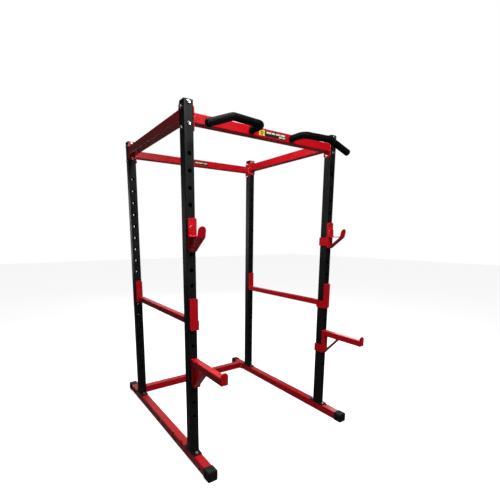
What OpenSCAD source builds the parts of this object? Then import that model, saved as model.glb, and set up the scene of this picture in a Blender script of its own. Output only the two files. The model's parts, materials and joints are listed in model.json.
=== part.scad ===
// Power cage: four drilled uprights bolted to two floor runners, tied together by top
// tubes, a pull-up beam and a base crossmember. Hooks, spotter arms and safety bars hang
// on round pegs in the upright holes.
// Millimetres. X is left to right seen from the front, the front faces -Y, Z is up.
// The origin is on the floor, midway between the outermost points in X and in Y.

/* [Cage] */
// Width between the upright centres
cage_w = 1200; // [1100:10:1250]
// Depth between the front and rear upright centres
cage_d = 1000; // [900:10:1200]
// Height to the top of the upright plugs
cage_h = 2200; // [2150:10:2400]
// Side of the square frame tube
tube = 60; // [60:1:70]
// Wall thickness of the frame tubes
wall = 3; // [2:0.5:4]
// Outside corner radius of the tubes
corner = 5; // [4:0.5:8]

/* [Base] */
// Runner length in front of the front uprights
runner_front = 255; // [220:5:300]
// Runner length behind the rear uprights
runner_rear = 270; // [240:5:300]
// Wall thickness of the rubber runner caps
cap_wall = 4; // [3:0.5:5]
// Distance from the rear uprights back to the base crossmember
base_cross_back = 131; // [120:1:150]
// Length of the foot plates under the uprights
foot_len = 140; // [130:5:160]

/* [Upright holes] */
// Diameter of the peg holes
hole_d = 25.2; // [20:0.1:28]
// Height of the lowest peg hole
hole_first = 320; // [300:5:340]
// Distance between peg holes
hole_pitch = 94; // [90:1:96]
// Number of peg holes in each upright
hole_count = 18; // [15:1:18]

/* [Top] */
// Distance from the top down to the centre of the side tubes
side_drop = 72; // [72:1:76]
// Distance from the top down to the centre of the beam and the rear crossmember
beam_drop = 92; // [92:1:96]
// Height of the pull-up beam and of the rear crossmember
beam_h = 55; // [40:1:56]
// Height of the bolted end flanges
flange_h = 136; // [130:1:140]

/* [Pull-up handles] */
// Distance from the middle of the beam to each handle root
handle_root = 168; // [150:2:220]
// Outer diameter of the steel handle tube
handle_d = 32; // [25:1:34]
// Outer diameter of the foam grip
grip_d = 44; // [38:1:46]

/* [Accessories] */
// Width of hooks, arms and bracket plates
strap_w = 50; // [40:1:54]
// Peg hole that holds the J-hooks, counted from 0 at the bottom
hook_hole = 13; // [11:1:14]
// Peg hole that holds the safety bars
safety_hole = 8; // [7:1:9]
// Peg hole that holds the spotter arms
spotter_hole = 4; // [3:1:5]
// Reach of the spotter arms in front of the uprights
spotter_reach = 355; // [300:5:400]
// Reach of the J-hooks in front of the uprights
hook_reach = 141; // [120:1:150]

/* [Hidden] */
$fn = 48;
over = 1;                                   // how far a cutter runs past what it cuts

red = "crimson";
black = "#1c1c1e";
zinc = "silver";

// Reach of the cage in front of and behind its middle, and the shift that centres it
cap_end = 5;
front_reach = cage_d / 2 + tube / 2 + spotter_reach;
rear_reach = cage_d / 2 + runner_rear + cap_end;
front_y = (front_reach - rear_reach) / 2 - cage_d / 2;
rear_y = front_y + cage_d;
side_x = cage_w / 2;
face = tube / 2;                            // from an upright's centre to its faces
inner = tube - 2 * wall;

// Base heights
runner_z = cap_wall + face;
runner_top = cap_wall + tube;
foot_t = 6;
upright_base = runner_top + foot_t;
foot_bolt_y = 50;
cap_len = 62;
base_cross_y = rear_y + base_cross_back;
base_flange_len = 132;
base_bolt_y = 49;

// Upright plugs
plug_t = 3;
plug_depth = 6;
plug_fit = 0.4;                             // slack between a plug's skirt and the tube
plug_wall = 2;
plug_r = 3;
upright_top = cage_h - plug_t;

// Top members
side_z = cage_h - side_drop;
beam_z = cage_h - beam_drop;
flange_t = 6;
flange_corner = 20;
flange_bolt_z = 54;

// Fasteners, M10
bolt_d = 10;
bolt_hole_d = 11;
hex_r = 17 / sqrt(3);                       // 17 mm across the flats
head_h = 6.4;
nut_h = 8;
washer_d = 20;
washer_t = 2;
thread_end = 4;                             // thread that shows past a nut

// Pull-up handles
grip_fit = 0.1;                             // between the grip and its tube
grip_gap = 4;                               // bare tube between the beam and the grip
handle_wall = 2.5;
handle_out = 74;                            // straight stretch that leaves the beam
handle_mid = 173;
handle_end = 172;
elbow_r = 45;
elbow_turn = 84.5;
droop_r = 90;
droop_turn = 21.5;
neck = 0.05;                                // how much slimmer a bend is, on the radius
lap = 1;                                    // how far a straight laps over a bend
handle_plug_t = 2.5;
handle_plug_depth = 12;
handle_plug_over = 2;                       // how much wider the plug is than the tube
// Each leg: straight length, roll about the pipe, bend angle, bend radius
handle_path = [
    [handle_out, 0, elbow_turn, elbow_r],
    [handle_mid, -90, droop_turn, droop_r],
    [handle_end, 0, 0, 0]
];

// Accessories
peg_d = 25;
peg_fit = 0.05;                             // radial clearance of a peg's own socket
peg_tip = 12;                               // how far a peg shows behind its upright
peg_chamfer = 2.5;
play = 0.5;                                 // from a bracket to the upright's front face
plate_t = 16;
plate_corner = 9;
wing_t = 4;
wing_gap = 1;                               // from a wing to the upright's inner face
wing_back = 65;                             // how far a wing reaches behind the front face
wing_in = face + wing_gap;                  // from a peg's centre to its wing
plate_in = face;                            // from a peg's centre to its plate's inner edge
plate_out = 24;                             // and to its outer edge
skin = 3;                                   // plate left in front of a peg's blind socket
socket_gap = 0.3;                           // from a peg's end to the bottom of its socket
brace_t = 6;
brace_run_on = 0.2;                         // share of a brace's length drawn past each end

// Plates and wings: top and bottom heights, measured from the peg's centre
hook_plate = [-173, 21];
hook_wing = [-153, -91];
spotter_plate = [-173, 13];
spotter_wing = [-173, -110];
safety_front_plate = [-180, 17];
safety_rear_plate = [-167, 17];
safety_wing = [-180, -122];

cradle_t = 6;
cradle_seat = -84;                          // height of the seat from the peg's centre
cradle_bend = 10;
cradle_back_h = 62;
cradle_finger_h = 55;
cradle_lean = 13;                           // how far the finger leans outwards, in degrees
hook_brace_up = 8;                          // from the plate's bottom to the brace's upper side
hook_brace_back = 11;                       // from the cradle's toe back to the same side

spotter_back_t = 22;
spotter_out = 19;                           // from the peg's centre to the outer side
spotter_arm = 45;
spotter_tip_rise = 27;
spotter_tip_t = 8;
spotter_brace_up = 14;
spotter_brace_out = 118;

safety_bar = 40;
safety_wall = 2.5;
safety_corner = 4;
safety_bar_in = 20;                         // the bars run a little inside the uprights
safety_bar_drop = 140;                      // from the peg down to the bar's centre
safety_front_gap = 5;                       // from the bar's end to the front upright
safety_end_t = 4;                           // plate that closes the bar's front end

// Labels: width, height and place across the cage
label_t = 0.6;
beam_label_size = [230, 36];
beam_label_x = 7;
crossmember_label_size = [140, 28];
crossmember_label_x = 30;

function hole_z(i) = hole_first + i * hole_pitch;

// ---- shared shapes ----

// A rectangle with round corners, centred
module soft_rect(w, h, r) {
    square([w - 2 * r, h], center = true);
    square([w, h - 2 * r], center = true);
    for (x = [-1, 1], y = [-1, 1])
        translate([x * (w / 2 - r), y * (h / 2 - r)]) circle(r);
}

module tube_profile(w, h, t, r) {
    difference() {
        soft_rect(w, h, r);
        soft_rect(w - 2 * t, h - 2 * t, max(r - t, 1));
    }
}

// Turns something modelled along +Z so that it runs along +X, or along +Y
module along_x() rotate([90, 0, 90]) children();
module along_y() rotate([-90, 0, 0]) children();

module across_y(y, z, x, d, len) translate([x, y, z]) along_y() cylinder(d = d, h = len, center = true);
module across_x(x, z, y, d, len) translate([x, y, z]) along_x() cylinder(d = d, h = len, center = true);

// Puts a right-hand shape on the right, or its mirror image on the left
module on_side(side) mirror([side < 0 ? 1 : 0, 0, 0]) children();

// Every place where an upright stands
module at_uprights() for (x = [-side_x, side_x], y = [front_y, rear_y]) translate([x, y, 0]) children();

// A round rod that follows a list of legs, starting at the origin along +Z. The bends are
// drawn a little slimmer than the straights, which lap over their ends.
module rod(path, d, i = 0, start = 0) {
    leg = path[i];
    low = i == 0 ? start : -lap;
    high = leg[0] + (leg[2] > 0 ? lap : 0);
    translate([0, 0, low]) cylinder(d = d, h = high - low);
    translate([0, 0, leg[0]]) rotate([0, 0, leg[1]]) {
        if (leg[2] > 0)
            translate([leg[3], 0, 0]) rotate([90, 0, 180])
                rotate_extrude(angle = leg[2]) translate([leg[3], 0]) circle(d = d - 2 * neck);
        if (i + 1 < len(path))
            translate([leg[3], 0, 0]) rotate([0, leg[2], 0]) translate([-leg[3], 0, 0])
                rod(path, d, i + 1);
    }
}

// A pipe on the same legs
module pipe(path, outer_d, inner_d, start = 0) difference() {
    rod(path, outer_d, 0, start);
    rod(path, inner_d, 0, start - over);
    pipe_end(path) translate([0, 0, -over]) cylinder(d = inner_d, h = 2 * over);
}

// The frame in which a pipe's last leg ends
module pipe_end(path, i = 0) {
    leg = path[i];
    translate([0, 0, leg[0]]) rotate([0, 0, leg[1]])
        translate([leg[3], 0, 0]) rotate([0, leg[2], 0]) translate([-leg[3], 0, 0])
            if (i + 1 < len(path)) pipe_end(path, i + 1) children();
            else children();
}

// ---- fasteners, each along +Z with the clamped face at the origin ----

module hex(h) cylinder(r = hex_r, h = h, $fn = 6);

// A hex bolt whose head stands up from the origin and whose shank goes down
module bolt(len) {
    hex(head_h);
    translate([0, 0, -len]) cylinder(d = bolt_d, h = len + over);
}

module nut() difference() {
    hex(nut_h);
    translate([0, 0, -over]) cylinder(d = bolt_d, h = nut_h + 2 * over);
}

module washer() difference() {
    cylinder(d = washer_d, h = washer_t);
    translate([0, 0, -over]) cylinder(d = bolt_hole_d, h = washer_t + 2 * over);
}

// Children at each foot bolt, on top of the foot plates
module at_foot_bolts() at_uprights()
    for (y = [-foot_bolt_y, foot_bolt_y]) translate([0, y, upright_base]) children();

// Children at each base crossmember bolt, on the inner face of its flange
module at_base_bolts() for (side = [-1, 1], y = [-base_bolt_y, base_bolt_y])
    on_side(side) translate([side_x - face - flange_t, base_cross_y + y, runner_z])
        rotate([0, -90, 0]) children();

// Children at each side tube bolt: outer faces of the uprights, or the flanges' inner faces
module at_side_bolts(outer) for (x = [-side_x, side_x], end = [-1, 1], z = [-flange_bolt_z, flange_bolt_z])
    translate([x, end < 0 ? front_y : rear_y, side_z + z])
        rotate([end * (outer ? -90 : 90), 0, 0])
            translate([0, 0, outer ? face : face + flange_t]) children();

// The same for a member that runs between two uprights along X
module at_cross_bolts(y, outer) for (side = [-1, 1], z = [-flange_bolt_z, flange_bolt_z])
    on_side(side) translate([side_x, y, beam_z + z])
        rotate([0, outer ? 90 : -90, 0])
            translate([0, 0, outer ? face : face + flange_t]) children();

// Bolt lengths: what each one clamps, its washers, its nut and the thread past it
foot_bolt = washer_t + foot_t + wall + nut_h + thread_end;
base_bolt = washer_t + flange_t + wall + nut_h + thread_end;
through_bolt = tube + flange_t + 2 * washer_t + nut_h + thread_end;

// ---- base ----

module base_runner(side) color(red) difference() {
    translate([side * side_x, front_y - runner_front, runner_z])
        along_y() linear_extrude(height = cage_d + runner_front + runner_rear)
            tube_profile(tube, tube, wall, corner);
    for (y = [front_y, rear_y], dy = [-foot_bolt_y, foot_bolt_y])
        translate([side * side_x, y + dy, runner_top - wall - over])
            cylinder(d = bolt_hole_d, h = wall + 2 * over);
    for (dy = [-base_bolt_y, base_bolt_y])
        across_x(side * (side_x - face + wall / 2), runner_z, base_cross_y + dy,
                 bolt_hole_d, wall + 2 * over);
}

// Rubber sleeve with a closed end, its end plate towards -Y
module runner_cap() difference() {
    outer = tube + 2 * cap_wall;
    along_y() linear_extrude(height = cap_len) soft_rect(outer, outer, corner + cap_wall);
    translate([0, cap_end, 0]) along_y()
        linear_extrude(height = cap_len) soft_rect(tube, tube, corner);
}

module front_runner_caps() color(black) for (x = [-side_x, side_x])
    translate([x, front_y - runner_front - cap_end, runner_z]) runner_cap();

module rear_runner_caps() color(black) for (x = [-side_x, side_x])
    translate([x, rear_y + runner_rear + cap_end, runner_z]) mirror([0, 1, 0]) runner_cap();

module base_crossmember() color(red) {
    span = cage_w - tube - 2 * flange_t;
    difference() {
        union() {
            translate([-span / 2, base_cross_y, runner_z]) along_x()
                linear_extrude(height = span) tube_profile(tube, tube, wall, corner);
            for (side = [-1, 1]) translate([side * (span + flange_t) / 2, base_cross_y, runner_z])
                along_x() linear_extrude(height = flange_t, center = true)
                    soft_rect(base_flange_len, tube, corner);
        }
        for (side = [-1, 1], dy = [-base_bolt_y, base_bolt_y])
            across_x(side * (span + flange_t) / 2, runner_z, base_cross_y + dy,
                     bolt_hole_d, flange_t + 2 * over);
    }
}

// ---- uprights ----

module upright(side, y) color(black) difference() {
    translate([side * side_x, y, upright_base])
        linear_extrude(height = upright_top - upright_base) tube_profile(tube, tube, wall, corner);
    for (i = [0 : hole_count - 1])
        across_y(y, hole_z(i), side * side_x, hole_d, tube + 2 * over);
    for (z = [-flange_bolt_z, flange_bolt_z]) {
        across_y(y, side_z + z, side * side_x, bolt_hole_d, tube + 2 * over);
        across_x(side * side_x, beam_z + z, y, bolt_hole_d, tube + 2 * over);
    }
}

module foot_plates() color(black) at_uprights() difference() {
    translate([0, 0, runner_top]) linear_extrude(height = foot_t) soft_rect(tube, foot_len, corner);
    for (y = [-foot_bolt_y, foot_bolt_y])
        translate([0, y, runner_top - over]) cylinder(d = bolt_hole_d, h = foot_t + 2 * over);
}

module upright_plugs() color(black) at_uprights() {
    translate([0, 0, upright_top]) linear_extrude(height = plug_t) soft_rect(tube, tube, corner);
    translate([0, 0, upright_top - plug_depth]) linear_extrude(height = plug_depth + over)
        tube_profile(inner - plug_fit, inner - plug_fit, plug_wall, plug_r);
}

// ---- top ----

module top_side_tube(side) color(red) difference() {
    len = cage_d - tube - 2 * flange_t;
    mid_y = (front_y + rear_y) / 2;
    union() {
        translate([side * side_x, mid_y - len / 2, side_z]) along_y()
            linear_extrude(height = len) tube_profile(tube, tube, wall, corner);
        for (end = [-1, 1])
            translate([side * side_x, mid_y + end * (len + flange_t) / 2, side_z]) along_y()
                linear_extrude(height = flange_t, center = true) soft_rect(tube, flange_h, flange_corner);
    }
    for (z = [-flange_bolt_z, flange_bolt_z])
        across_y(mid_y, side_z + z, side * side_x, bolt_hole_d, cage_d);
}

// A member between two uprights along X, with a bolted flange at each end
module cross_member(y, depth) difference() {
    len = cage_w - tube - 2 * flange_t;
    union() {
        translate([-len / 2, y, beam_z]) along_x()
            linear_extrude(height = len) tube_profile(depth, beam_h, wall, corner);
        for (end = [-1, 1]) translate([end * (len + flange_t) / 2, y, beam_z]) along_x()
            linear_extrude(height = flange_t, center = true) soft_rect(tube, flange_h, flange_corner);
    }
    for (z = [-flange_bolt_z, flange_bolt_z])
        across_x(0, beam_z + z, y, bolt_hole_d, cage_w);
}

module top_crossmember() color(red) cross_member(rear_y, beam_h);
module pull_up_beam() color(red) cross_member(front_y, tube);

// ---- pull-up handles ----

module at_handle(side) on_side(side)
    translate([handle_root, front_y - face, beam_z]) rotate([90, 0, 0]) children();

module handle(side) color(black) at_handle(side)
    pipe(handle_path, handle_d, handle_d - 2 * handle_wall);

module grip(side) color(black) at_handle(side)
    pipe(handle_path, grip_d, handle_d + 2 * grip_fit, grip_gap);

module handle_plugs() color(black) for (side = [-1, 1]) at_handle(side)
    pipe_end(handle_path) {
        cylinder(d = handle_d + handle_plug_over, h = handle_plug_t);
        translate([0, 0, -handle_plug_depth])
            cylinder(d = handle_d - 2 * handle_wall, h = handle_plug_depth + over);
    }

// ---- fastener groups ----

module foot_bolts() color(zinc) at_foot_bolts() translate([0, 0, washer_t]) bolt(foot_bolt);
module foot_nuts() color(zinc) at_foot_bolts() translate([0, 0, -foot_t - wall - nut_h]) nut();
module base_bolts() color(zinc) at_base_bolts() translate([0, 0, washer_t]) bolt(base_bolt);
module base_nuts() color(zinc) at_base_bolts() translate([0, 0, -flange_t - wall - nut_h]) nut();
module side_tube_bolts() color(zinc) at_side_bolts(true) translate([0, 0, washer_t]) bolt(through_bolt);
module side_tube_nuts() color(zinc) at_side_bolts(false) translate([0, 0, washer_t]) nut();
module beam_bolts() color(zinc) at_cross_bolts(front_y, true) translate([0, 0, washer_t]) bolt(through_bolt);
module beam_nuts() color(zinc) at_cross_bolts(front_y, false) translate([0, 0, washer_t]) nut();
module crossmember_bolts() color(zinc) at_cross_bolts(rear_y, true)
    translate([0, 0, washer_t]) bolt(through_bolt);
module crossmember_nuts() color(zinc) at_cross_bolts(rear_y, false) translate([0, 0, washer_t]) nut();

module washers() color(zinc) {
    at_foot_bolts() washer();
    at_base_bolts() washer();
    for (outer = [false, true]) {
        at_side_bolts(outer) washer();
        at_cross_bolts(front_y, outer) washer();
        at_cross_bolts(rear_y, outer) washer();
    }
}

// ---- plain labels ----

module label(x, y, size) translate([x, y - label_t / 2, beam_z])
    cube([size[0], label_t, size[1]], center = true);

module beam_label() color("gold") label(beam_label_x, front_y - face, beam_label_size);
module crossmember_label() color(black)
    label(crossmember_label_x, rear_y - beam_h / 2, crossmember_label_size);

// ---- accessories: each is placed on the right by its peg's centre at an upright's front face ----

module at_peg(side, i, y = front_y) on_side(side) translate([side_x, y - face, hole_z(i)]) children();

// A peg along +Y whose front end lies at the given Y
module peg(front) {
    len = tube + peg_tip - front;
    translate([0, front, 0]) along_y() {
        cylinder(d = peg_d, h = len - peg_chamfer);
        translate([0, 0, len - peg_chamfer])
            cylinder(d1 = peg_d, d2 = peg_d - 2 * peg_chamfer, h = peg_chamfer);
    }
}

// Front end of a peg that sits in a plate of thickness t
function peg_front(t) = -play - t + skin + socket_gap;

// A blind hole in the back of such a plate
module socket(t) translate([0, -play - t + skin, 0]) along_y()
    cylinder(r = peg_d / 2 + peg_fit, h = t);

// An upright plate in front of the face, between two heights
module back_plate(heights, t, out = plate_out) {
    h = heights[1] - heights[0];
    translate([(out - plate_in) / 2, -play - t / 2, heights[0] + h / 2])
        along_y() linear_extrude(height = t, center = true) soft_rect(plate_in + out, h, plate_corner);
}

// The wing that grips the upright's inner face, with the bend that joins it to its plate
module wing(heights, t) translate([-wing_in - wing_t, -play - t, heights[0]]) {
    h = heights[1] - heights[0];
    cube([wing_t, t + play + wing_back, h]);
    cube([wing_t + plate_corner, t, h]);
}

// A flat strip between two points in the YZ plane, on the far side of the line that joins them
module strip(from, to, w) {
    run = to - from;
    translate([-w / 2, from[0], from[1]]) rotate([atan2(run[1], run[0]), 0, 0])
        cube([w, norm(run), brace_t]);
}

// A diagonal strip whose ends are cut along the plate in front and the member above
module brace(from, to, w) intersection() {
    run_on = brace_run_on * (to - from);
    strip(from - run_on, to + run_on, w);
    translate([-w / 2, to[0] - w, from[1] - w])
        cube([w, from[0] - to[0] + w, to[1] - from[1] + w]);
}

// ---- J-hooks ----

hook_front = -play - plate_t;
// Where the finger's outer and inner faces meet the height of the seat, measured out from
// the plate, and the centre of the bend between the seat and the finger
cradle_reach = hook_reach + hook_front;
cradle_toe = cradle_reach - cradle_finger_h * tan(cradle_lean);
finger_in = cradle_toe - cradle_t / cos(cradle_lean);
bend_out = finger_in - cradle_bend * (1 - sin(cradle_lean)) / cos(cradle_lean);

module j_hook_peg(side) color(black) at_peg(side, hook_hole) peg(peg_front(plate_t));

module j_hook_plate(side) color(red) at_peg(side, hook_hole) difference() {
    union() {
        back_plate(hook_plate, plate_t);
        wing(hook_wing, plate_t);
    }
    socket(plate_t);
}

// Side outline of the cradle: back leg, seat and leaning finger, with round inner corners
module cradle_outline() difference() {
    top = cradle_back_h + over;
    polygon([
        [-cradle_toe + cradle_t * tan(cradle_lean), -cradle_t],
        [0, -cradle_t],
        [0, cradle_back_h],
        [-cradle_toe - cradle_back_h * tan(cradle_lean), cradle_back_h]
    ]);
    polygon([
        [-bend_out, 0],
        [-cradle_t - cradle_bend, 0],
        [-cradle_t - cradle_bend, cradle_bend],
        [-cradle_t, cradle_bend],
        [-cradle_t, top],
        [-finger_in - top * tan(cradle_lean), top],
        [-bend_out - cradle_bend * cos(cradle_lean), cradle_bend * (1 - sin(cradle_lean))],
        [-bend_out, cradle_bend]
    ]);
    for (x = [-bend_out, -cradle_t - cradle_bend]) translate([x, cradle_bend]) circle(cradle_bend);
}

// A strap end seen from the front: straight sides and a half-round top
module round_top(h, w, below = 0) {
    translate([-w / 2, -below]) square([w, h + below - w / 2]);
    translate([0, h - w / 2]) circle(d = w);
}

module j_hook_cradle(side) color(red) at_peg(side, hook_hole)
    translate([0, hook_front, cradle_seat]) intersection() {
        split = over - finger_in;
        rotate([90, 0, 90]) linear_extrude(height = strap_w, center = true) cradle_outline();
        union() {
            translate([0, over, 0]) rotate([90, 0, 0])
                linear_extrude(height = over - split) round_top(cradle_back_h, strap_w, cradle_t);
            translate([0, split, 0]) rotate([90, 0, 0])
                linear_extrude(height = cradle_reach + split + over)
                    round_top(cradle_finger_h, strap_w, cradle_t);
        }
    }

module j_hook_brace(side) color(red) at_peg(side, hook_hole) brace(
    [hook_front, hook_plate[0] + hook_brace_up],
    [hook_front - cradle_toe + hook_brace_back, cradle_seat - cradle_t], strap_w);

// ---- spotter arms ----

spotter_front = -play - spotter_back_t;
arm_x = spotter_out - spotter_arm / 2;
arm_bottom = spotter_plate[1] - spotter_arm;
tip_back = -spotter_reach + spotter_tip_t;

module spotter_peg(side) color(black) at_peg(side, spotter_hole) peg(peg_front(spotter_back_t));

module spotter_back(side) color(red) at_peg(side, spotter_hole) difference() {
    union() {
        back_plate(spotter_plate, spotter_back_t, spotter_out);
        wing(spotter_wing, spotter_back_t);
    }
    socket(spotter_back_t);
}

module spotter_arm(side) color(red) at_peg(side, spotter_hole)
    translate([arm_x, tip_back, arm_bottom + spotter_arm / 2]) along_y()
        linear_extrude(height = spotter_front - tip_back)
            tube_profile(spotter_arm, spotter_arm, wall, corner);

module spotter_tip(side) color(red) at_peg(side, spotter_hole)
    translate([arm_x, tip_back, arm_bottom]) rotate([90, 0, 0])
        linear_extrude(height = spotter_tip_t) round_top(spotter_arm + spotter_tip_rise, spotter_arm);

module spotter_brace(side) color(red) at_peg(side, spotter_hole) translate([arm_x, 0, 0]) brace(
    [spotter_front, spotter_plate[0] + spotter_brace_up],
    [spotter_front - spotter_brace_out, arm_bottom], spotter_arm);

// ---- safety bars ----

bar_front = tube + safety_front_gap;        // behind the front uprights' front face
bar_rear = cage_d - play - plate_t;

module safety_tube(side) color(red) at_peg(side, safety_hole)
    translate([-safety_bar_in, bar_front, -safety_bar_drop]) along_y()
        linear_extrude(height = bar_rear - bar_front)
            tube_profile(safety_bar, safety_bar, safety_wall, safety_corner);

module safety_front_bracket(side) color(red) at_peg(side, safety_hole) {
    back_plate(safety_front_plate, plate_t);
    wing(safety_wing, plate_t);
    translate([-safety_bar_in, bar_front - safety_end_t, -safety_bar_drop]) along_y()
        linear_extrude(height = safety_end_t) soft_rect(safety_bar, safety_bar, safety_corner);
}

module safety_rear_bracket(side) color(red) at_peg(side, safety_hole, rear_y)
    back_plate(safety_rear_plate, plate_t);

module safety_pegs(side) color(black) for (y = [front_y, rear_y])
    at_peg(side, safety_hole, y) peg(-play);

base_runner(-1);  // base_runner_left
base_runner(1);  // base_runner_right
front_runner_caps();
rear_runner_caps();
base_crossmember();
upright(-1, front_y);  // upright_front_left
upright(1, front_y);  // upright_front_right
upright(-1, rear_y);  // upright_rear_left
upright(1, rear_y);  // upright_rear_right
foot_plates();
upright_plugs();
top_side_tube(-1);  // top_side_tube_left
top_side_tube(1);  // top_side_tube_right
top_crossmember();
pull_up_beam();
handle(-1);  // handle_left
handle(1);  // handle_right
grip(-1);  // grip_left
grip(1);  // grip_right
handle_plugs();
foot_bolts();
foot_nuts();
base_bolts();
base_nuts();
side_tube_bolts();
side_tube_nuts();
beam_bolts();
beam_nuts();
crossmember_bolts();
crossmember_nuts();
washers();
beam_label();
crossmember_label();
j_hook_peg(-1);  // j_hook_peg_left
j_hook_plate(-1);  // j_hook_plate_left
j_hook_cradle(-1);  // j_hook_cradle_left
j_hook_brace(-1);  // j_hook_brace_left
j_hook_peg(1);  // j_hook_peg_right
j_hook_plate(1);  // j_hook_plate_right
j_hook_cradle(1);  // j_hook_cradle_right
j_hook_brace(1);  // j_hook_brace_right
spotter_peg(-1);  // spotter_peg_left
spotter_back(-1);  // spotter_back_left
spotter_arm(-1);  // spotter_arm_left
spotter_tip(-1);  // spotter_tip_left
spotter_brace(-1);  // spotter_brace_left
spotter_peg(1);  // spotter_peg_right
spotter_back(1);  // spotter_back_right
spotter_arm(1);  // spotter_arm_right
spotter_tip(1);  // spotter_tip_right
spotter_brace(1);  // spotter_brace_right
safety_tube(-1);  // safety_bar_left
safety_front_bracket(-1);  // safety_front_bracket_left
safety_rear_bracket(-1);  // safety_rear_bracket_left
safety_pegs(-1);  // safety_pegs_left
safety_tube(1);  // safety_bar_right
safety_front_bracket(1);  // safety_front_bracket_right
safety_rear_bracket(1);  // safety_rear_bracket_right
safety_pegs(1);  // safety_pegs_right
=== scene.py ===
"""Power cage: studio, camera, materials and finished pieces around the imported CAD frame.

Lengths are in metres. Every piece is modelled in the row frame: X across, the front at -Y, Z up.
"""
import json
import math

import bmesh
import bpy
from mathutils import Matrix, Vector


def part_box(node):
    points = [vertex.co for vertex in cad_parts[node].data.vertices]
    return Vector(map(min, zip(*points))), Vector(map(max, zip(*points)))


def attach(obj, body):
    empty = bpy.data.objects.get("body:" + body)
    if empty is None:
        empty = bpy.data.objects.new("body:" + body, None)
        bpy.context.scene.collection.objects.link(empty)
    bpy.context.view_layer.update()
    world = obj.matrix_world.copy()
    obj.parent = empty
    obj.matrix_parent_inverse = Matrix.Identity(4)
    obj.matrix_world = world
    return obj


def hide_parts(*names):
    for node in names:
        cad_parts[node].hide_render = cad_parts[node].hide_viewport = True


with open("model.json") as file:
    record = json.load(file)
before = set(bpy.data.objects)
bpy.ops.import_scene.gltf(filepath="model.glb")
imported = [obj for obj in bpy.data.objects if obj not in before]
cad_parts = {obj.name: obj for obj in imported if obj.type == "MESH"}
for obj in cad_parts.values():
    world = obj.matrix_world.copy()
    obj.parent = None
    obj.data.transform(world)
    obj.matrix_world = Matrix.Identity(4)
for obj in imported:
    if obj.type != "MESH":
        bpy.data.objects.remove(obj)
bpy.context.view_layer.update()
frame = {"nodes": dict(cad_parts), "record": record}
MM = 0.001
SIDES = {"left": -1, "right": 1}

# ---------------------------------------------------------------- camera

LENS_MM = 23.96
SENSOR_MM = 36.0
FRAME_SHIFT = (0.0411, 0.0917)
CAMERA_PLACE = (-1.5037, -2.2439, 1.4529)
# Degrees up from straight down, and degrees round from looking along +Y
CAMERA_TILT = 80.03
CAMERA_TURN = -33.54
FARTHEST_SEEN = 60


def make_camera():
    data = bpy.data.cameras.new("camera")
    data.lens = LENS_MM
    data.sensor_width = SENSOR_MM
    data.shift_x, data.shift_y = FRAME_SHIFT
    data.clip_end = FARTHEST_SEEN
    camera = bpy.data.objects.new("camera", data)
    bpy.context.scene.collection.objects.link(camera)
    camera.location = CAMERA_PLACE
    camera.rotation_euler = (math.radians(CAMERA_TILT), 0, math.radians(CAMERA_TURN))
    bpy.context.scene.camera = camera


# ---------------------------------------------------------------- studio

WHITE = (1, 1, 1, 1)
FLOOR_REACH = 20
FLOOR_SEEN = (0.9, 0.9, 0.9, 1)
FLOOR_LIT = (0.1, 0.1, 0.1, 1)
FLOOR_GLOW = 0.7
BACKDROP_SEEN = 1.0
ROOM_LIGHT = 0.06
OVERHEAD_STRENGTH = 0.62
OVERHEAD_WIDTH = math.radians(60)


def seen_by_camera(tree, seen, unseen, target):
    """Sends one shader to what the camera sees, and another to what lights the object."""
    path = tree.nodes.new("ShaderNodeLightPath")
    mix = tree.nodes.new("ShaderNodeMixShader")
    factor, for_light, for_camera = mix.inputs
    tree.links.new(path.outputs["Is Camera Ray"], factor)
    tree.links.new(unseen.outputs[0], for_light)
    tree.links.new(seen.outputs[0], for_camera)
    tree.links.new(mix.outputs[0], target)


def make_floor():
    """A floor that is pale to the camera and dim to the object, so that undersides stay dark."""
    bm = bmesh.new()
    bmesh.ops.create_grid(bm, x_segments=1, y_segments=1, size=FLOOR_REACH)
    mesh = bpy.data.meshes.new("floor")
    bm.to_mesh(mesh)
    bm.free()
    floor = bpy.data.objects.new("floor", mesh)
    bpy.context.scene.collection.objects.link(floor)
    material = bpy.data.materials.new("studio floor")
    material.use_nodes = True
    tree = material.node_tree
    pale = tree.nodes["Principled BSDF"]
    pale.inputs["Base Color"].default_value = FLOOR_SEEN
    pale.inputs["Roughness"].default_value = 0.8
    pale.inputs["Emission Color"].default_value = WHITE
    pale.inputs["Emission Strength"].default_value = FLOOR_GLOW
    dim = tree.nodes.new("ShaderNodeBsdfDiffuse")
    dim.inputs["Color"].default_value = FLOOR_LIT
    seen_by_camera(tree, pale, dim, tree.nodes["Material Output"].inputs["Surface"])
    mesh.materials.append(material)


def add_light(name, kind, location, target, power):
    """A light at a place, turned to face a target."""
    data = bpy.data.lights.new(name, kind)
    data.energy = power
    light = bpy.data.objects.new(name, data)
    bpy.context.scene.collection.objects.link(light)
    light.location = location
    light.rotation_euler = (Vector(target) - Vector(location)).to_track_quat("-Z", "Y").to_euler()
    return light


def softbox(name, location, target, size, power, spread=180):
    """A rectangular light, whose beam a grid can narrow. The camera doesn't see it."""
    light = add_light(name, "AREA", location, target, power)
    light.data.shape = "RECTANGLE"
    light.data.size, light.data.size_y = size
    light.data.spread = math.radians(spread)
    light.visible_camera = False


def make_world():
    """A white backdrop behind everything, and a dimmer room that lights the object."""
    world = bpy.data.worlds.new("studio")
    world.use_nodes = True
    tree = world.node_tree
    room = tree.nodes["Background"]
    backdrop = tree.nodes.new("ShaderNodeBackground")
    for background, strength in ((room, ROOM_LIGHT), (backdrop, BACKDROP_SEEN)):
        background.inputs["Color"].default_value = WHITE
        background.inputs["Strength"].default_value = strength
    seen_by_camera(tree, backdrop, room, tree.nodes["World Output"].inputs["Surface"])
    bpy.context.scene.world = world


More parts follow.
